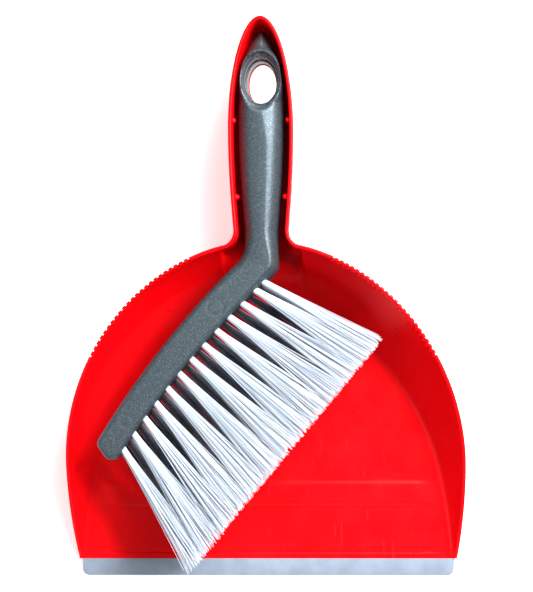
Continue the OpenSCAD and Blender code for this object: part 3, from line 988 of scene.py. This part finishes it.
brush = new_piece("brush_moulding", *loft(brush_rings()), FLAKE)
print("brush faces", len(brush.data.polygons), "open edges", open_edges(brush))


# %% [markdown]
# ## Hanging hole and tuft holes
# The hole for the wall hook narrows in steps from its ring to a straight oval bore. The tufts stand
# in drilled holes in the side of the head, in three staggered rows.

# %% Tuft places
TUFTS = 13
ROW_NAMES = ["top", "middle", "low"]
ROW_PITCH = 7.2
ROW_TILT = [3.0, -2.0, -7.0]
FIRST_S, SECOND_S, LAST_S = 6.5, 13.4, HEAD_LEN - 9.5
FAN = [30.0, 57.0]
ROOT_D = 3.8
TUFT_FIT = 0.1
HOLE_DEPTH = 8.0
# How far the tool of a tuft's hole reaches past the head's edge
TOOL_ABOVE = 6.0


def tuft_s(row, i):
    """Length along the head for a tuft, counted from 1."""
    if row == 1:
        return (tuft_s(0, i) + tuft_s(0, i + 1)) / 2
    return FIRST_S if i == 1 else SECOND_S + (i - 2) * (LAST_S - SECOND_S) / (TUFTS - 2)


def tuft_place(row, i):
    """Matrix in millimetres at the mouth of a tuft's hole, with Z along the tuft."""
    s = tuft_s(row, i)
    down = math.radians(FAN[0] + (FAN[1] - FAN[0]) * (s - FIRST_S) / (LAST_S - FIRST_S))
    tilt = math.radians(ROW_TILT[row])
    z = Vector((math.cos(tilt) * math.cos(down), -math.cos(tilt) * math.sin(down), math.sin(tilt)))
    x = Vector((math.sin(down), math.cos(down), 0))
    place = Matrix((x, z.cross(x), z)).transposed().to_4x4()
    height = (BODY_LOW + BODY_HIGH) / 2 + (1 - row) * ROW_PITCH
    place.translation = Vector((*edge_point(s), height))
    return place


tufts = [(ROW_NAMES[row], i, tuft_place(row, i))
         for row in range(3) for i in range(1, TUFTS + (0 if row == 1 else 1))]
print(len(tufts), "tufts")

# %% Cut the holes
through = [(oval(HANG_W + 1, HANG_LEN + 1, 0, HANG_Y), BODY_LOW - 2),
           (oval(HANG_W + 1, HANG_LEN + 1, 0, HANG_Y), BODY_LOW + 8),
           (oval(HANG_W + 1.8, HANG_LEN + 1.8, 0, HANG_Y + 0.2), BODY_LOW + 13),
           (oval(HANG_W + 2.2, HANG_LEN + 2.2, 0, HANG_Y + 0.3), BODY_LOW + 13.2),
           (oval(HANG_W + 3.0, HANG_LEN + 3.6, 0, HANG_Y + 0.9), BODY_HIGH + 2)]
tools = [stack("bore_tool", through, FLAKE)]
around = 24
turns = [2 * math.pi * k / around for k in range(around)]
hole_r = ROOT_D / 2 + TUFT_FIT
for _, _, place in tufts:
    verts = [place @ Vector((hole_r * math.cos(turn), hole_r * math.sin(turn), z))
             for z in (-HOLE_DEPTH, TOOL_ABOVE) for turn in turns]
    faces = [(k, (k + 1) % around, around + (k + 1) % around, around + k) for k in range(around)]
    faces += [tuple(range(around)), tuple(range(around, 2 * around))]
    tools.append(new_piece("tuft_hole", verts, faces, FLAKE))
combine(brush, tools, "DIFFERENCE")
smooth_with_edges(brush, 40)
print("brush faces", len(brush.data.polygons), "open edges", open_edges(brush))
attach(brush, "brush")
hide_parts("brush_body")

# %% [markdown]
# ## Bristles
# Every tuft is a bundle of sixty or more filaments, so it is one Geometry Nodes tree with named
# inputs. A sunflower layout gives each filament its place in the round hole and a matching place,
# farther out, at the tip. Each filament bends a little its own way.
# All tufts of a real brush are cut with one straight trim, so a filament is as long as it takes to
# reach the trim plane, give or take a little raggedness.

# %% Node tree for one tuft
TREE_INPUTS = [
    ("Filaments", "NodeSocketInt", 64), ("Thickness", "NodeSocketFloat", 0.00021),
    ("Root Radius", "NodeSocketFloat", 0.0016), ("Tip Radius", "NodeSocketFloat", 0.0080),
    ("Tip Radius Across", "NodeSocketFloat", 0.0035), ("Row Painted Shade", "NodeSocketFloat", 0.0),
    ("Buried", "NodeSocketFloat", 0.006), ("Length", "NodeSocketFloat", 0.076),
    ("Trim Slant X", "NodeSocketFloat", 0.0), ("Trim Slant Y", "NodeSocketFloat", 0.0),
    ("Ragged", "NodeSocketFloat", 0.0009), ("Waviness", "NodeSocketFloat", 0.0012),
    ("Seed", "NodeSocketInt", 0),
]


def bristle_tree():
    tree = bpy.data.node_groups.new("bristle_tuft", "GeometryNodeTree")
    sockets = {}
    for name, kind, default in TREE_INPUTS:
        socket = tree.interface.new_socket(name, in_out="INPUT", socket_type=kind)
        socket.default_value = default
        sockets[name] = socket.identifier
    tree.interface.new_socket("Geometry", in_out="OUTPUT", socket_type="NodeSocketGeometry")
    given = tree.nodes.new("NodeGroupInput")

    def add(kind, links=None, **settings):
        node = tree.nodes.new(kind)
        for key, value in settings.items():
            setattr(node, key, value)
        for key, value in (links or {}).items():
            if isinstance(value, bpy.types.NodeSocket):
                tree.links.new(value, node.inputs[key])
            else:
                node.inputs[key].default_value = value
        return node

    def math_node(operation, a, b=0.0):
        return add("ShaderNodeMath", {0: a, 1: b}, operation=operation).outputs[0]

    def random(low, high, salt):
        seed = math_node("ADD", given.outputs["Seed"], float(salt))
        node = add("FunctionNodeRandomValue", {"ID": index, "Seed": seed}, data_type="FLOAT")
        node.inputs[2].default_value = low
        node.inputs[3].default_value = high
        return node.outputs[1]

    # One point per filament, then one copy of a straight line on each
    index = add("GeometryNodeInputIndex").outputs[0]
    points = add("GeometryNodePoints", {"Count": given.outputs["Filaments"]})

    # Sunflower layout: the share of the radius and the angle of each filament
    share = math_node("SQRT", math_node("DIVIDE", math_node("ADD", index, 0.5), given.outputs["Filaments"]))
    angle = math_node("MULTIPLY", index, 2.399963)
    unit = add("ShaderNodeCombineXYZ", {
        "X": math_node("MULTIPLY", share, math_node("COSINE", angle)),
        "Y": math_node("MULTIPLY", share, math_node("SINE", angle)),
    }).outputs[0]
    loose = add("ShaderNodeCombineXYZ", {
        "X": random(-1, 1, 11), "Y": random(-1, 1, 12)}).outputs[0]
    capture = add("GeometryNodeStoreNamedAttribute", {
        "Geometry": points.outputs[0], "Name": "unit", "Value": unit}, data_type="FLOAT_VECTOR")
    capture = add("GeometryNodeStoreNamedAttribute", {
        "Geometry": capture.outputs[0], "Name": "loose", "Value": loose}, data_type="FLOAT_VECTOR")
    capture = add("GeometryNodeStoreNamedAttribute", {
        "Geometry": capture.outputs[0], "Name": "cut", "Value": random(-1, 1, 13)}, data_type="FLOAT")
    capture = add("GeometryNodeStoreNamedAttribute", {
        "Geometry": capture.outputs[0], "Name": "shade", "Value": random(0, 1, 14)}, data_type="FLOAT")
    line = add("GeometryNodeCurvePrimitiveLine", {"End": (0, 0, 1)}, mode="POINTS")
    line = add("GeometryNodeResampleCurve", {"Curve": line.outputs[0], "Count": 8}, mode="COUNT")
    copies = add("GeometryNodeInstanceOnPoints", {
        "Points": capture.outputs[0], "Instance": line.outputs[0]})
    curves = add("GeometryNodeRealizeInstances", {"Geometry": copies.outputs[0]}).outputs[0]

    def stored(name, kind):
        return add("GeometryNodeInputNamedAttribute", {"Name": name}, data_type=kind).outputs[0]

    def split(vector):
        return add("ShaderNodeSeparateXYZ", {"Vector": vector}).outputs

    # Where each point of a filament belongs: t runs from 0 at its root to 1 at its tip
    t = add("GeometryNodeSplineParameter").outputs[0]
    unit_x, unit_y, _ = split(stored("unit", "FLOAT_VECTOR"))
    loose_x, loose_y, _ = split(stored("loose", "FLOAT_VECTOR"))
    def spread(tip):
        return add("ShaderNodeMapRange", {
            "Value": t, "From Min": 0.08, "From Max": 1.0,
            "To Min": given.outputs["Root Radius"], "To Max": given.outputs[tip]}).outputs[0]

    wave = math_node("MULTIPLY", math_node("MULTIPLY", t, t), given.outputs["Waviness"])
    x = math_node("ADD", math_node("MULTIPLY", unit_x, spread("Tip Radius")),
                  math_node("MULTIPLY", loose_x, wave))
    y = math_node("ADD", math_node("MULTIPLY", unit_y, spread("Tip Radius Across")),
                  math_node("MULTIPLY", math_node("MULTIPLY", loose_y, wave), 0.5))
    reach = math_node("ADD", given.outputs["Length"], given.outputs["Buried"])
    reach = math_node("ADD", reach, math_node("MULTIPLY", x, given.outputs["Trim Slant X"]))
    reach = math_node("ADD", reach, math_node("MULTIPLY", y, given.outputs["Trim Slant Y"]))
    reach = math_node("ADD", reach, math_node("MULTIPLY", stored("cut", "FLOAT"), given.outputs["Ragged"]))
    z = math_node("SUBTRACT", math_node("MULTIPLY", t, reach), given.outputs["Buried"])
    place = add("ShaderNodeCombineXYZ", {"X": x, "Y": y, "Z": z}).outputs[0]
    # Painted shade between the tufts: full at the root, none at the tip, scaled by the row
    painted_root_shade = math_node("MULTIPLY", add("ShaderNodeMapRange", {
        "Value": t, "From Min": 0.3, "From Max": 0.85, "To Min": 1.0, "To Max": 0.0}).outputs[0],
        given.outputs["Row Painted Shade"])
    curves = add("GeometryNodeStoreNamedAttribute", {
        "Geometry": curves, "Name": "painted_root_shade", "Value": painted_root_shade}, data_type="FLOAT").outputs[0]
    curves = add("GeometryNodeSetPosition", {"Geometry": curves, "Position": place}).outputs[0]

    # Give every filament a five-sided body and closed ends
    thick = math_node("MULTIPLY", given.outputs["Thickness"], math_node("SUBTRACT", 1.0, math_node(
        "MULTIPLY", 0.25, t)))
    curves = add("GeometryNodeSetCurveRadius", {"Curve": curves, "Radius": thick}).outputs[0]
    ring = add("GeometryNodeCurvePrimitiveCircle", {"Resolution": 5, "Radius": 1.0}).outputs[0]
    body = add("GeometryNodeCurveToMesh", {"Curve": curves, "Profile Curve": ring, "Fill Caps": True})
    if "Scale" in body.inputs:
        radius = add("GeometryNodeInputRadius").outputs[0]
        tree.links.new(radius, body.inputs["Scale"])
    whole = add("GeometryNodeRealizeInstances", {"Geometry": body.outputs[0]}).outputs[0]
    dressed = add("GeometryNodeSetMaterial", {"Geometry": whole, "Material": NYLON}).outputs[0]
    tree.links.new(dressed, tree.nodes.new("NodeGroupOutput").inputs[0])
    return tree, sockets


BRISTLES, BRISTLE_SOCKETS = bristle_tree()
print("bristle tree nodes", len(BRISTLES.nodes))


# %% Plant the tufts
def grow(name, place, settings):
    """Evaluates the tree once and stores its result as a plain mesh at the origin."""
    holder = bpy.data.objects.new(name, bpy.data.meshes.new(name))
    bpy.context.scene.collection.objects.link(holder)
    modifier = holder.modifiers.new("bristles", "NODES")
    modifier.node_group = BRISTLES
    for key, value in settings.items():
        modifier[BRISTLE_SOCKETS[key]] = value
    graph = bpy.context.evaluated_depsgraph_get()
    mesh = bpy.data.meshes.new_from_object(holder.evaluated_get(graph))
    holder.modifiers.clear()
    mesh.transform(place)
    mesh.shade_smooth()
    old = holder.data
    holder.data = mesh
    bpy.data.meshes.remove(old)
    return holder


# How far the first tuft's tip stays inside the pan's widest part
TIP_ROOM = 52.0
FIRST_LEN = (HALF_W - TIP_ROOM - edge_point(FIRST_S)[0]) / math.cos(math.radians(FAN[0]))
LAST_LEN = 75.0
# Half height of a tuft's end, by row; the top row stays below the set's highest point
TIP_ACROSS = {"top": 2.9, "middle": 5.5, "low": 5.5}
# Half width of a tuft's end: the first and the last tuft of a row have a neighbour on one side only
TIP_FIRST, TIP_LAST, TIP_INNER = 5.0, 6.6, 8.2
ROOT_PLAY = 0.3
BURIED = 6.0
first_tip = tuft_place(0, 1) @ Vector((0, 0, FIRST_LEN))
last_tip = tuft_place(0, TUFTS) @ Vector((0, 0, LAST_LEN))
trim_normal = Vector((first_tip.y - last_tip.y, last_tip.x - first_tip.x, 0)).normalized()
print("first tuft", round(FIRST_LEN, 1), "last tuft", LAST_LEN, "trim", [round(v, 2) for v in trim_normal])

# How much painted shade each row gets toward its roots
ROW_PAINTED_SHADE = {"top": 0.0, "middle": 0.85, "low": 1.0}
total = 0
for k, (row, i, place) in enumerate(tufts):
    turn = place.to_3x3()
    across, over, axis = turn.col[0], turn.col[1], turn.col[2]
    facing = axis.dot(trim_normal)
    length = (first_tip - place.translation).dot(trim_normal) / facing
    is_last = i == (TUFTS - 1 if row == "middle" else TUFTS)
    tip_radius = TIP_FIRST if i == 1 else TIP_LAST if is_last else TIP_INNER
    loose = i >= TUFTS - 1
    metres = Matrix.Scale(MM, 4) @ place @ Matrix.Scale(1 / MM, 4)
    tuft = grow(f"bristles_{row}_{i}", metres, {
        "Filaments": 84 if row == "top" else 60, "Thickness": 0.0002,
        "Root Radius": (ROOT_D / 2 - ROOT_PLAY) * MM, "Tip Radius": tip_radius * MM,
        "Tip Radius Across": TIP_ACROSS[row] * MM, "Buried": BURIED * MM, "Length": length * MM,
        "Trim Slant X": -across.dot(trim_normal) / facing,
        "Trim Slant Y": -over.dot(trim_normal) / facing,
        "Ragged": 0.0032 if loose else 0.0022, "Waviness": 0.003 if loose else 0.002,
        "Row Painted Shade": ROW_PAINTED_SHADE[row], "Seed": 17 * k + 5})
    total += len(tuft.data.polygons)
    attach(tuft, "brush")
    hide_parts(f"tuft_{row}_{i}")
print("bristle faces", total, "in", len(tufts), "tufts")
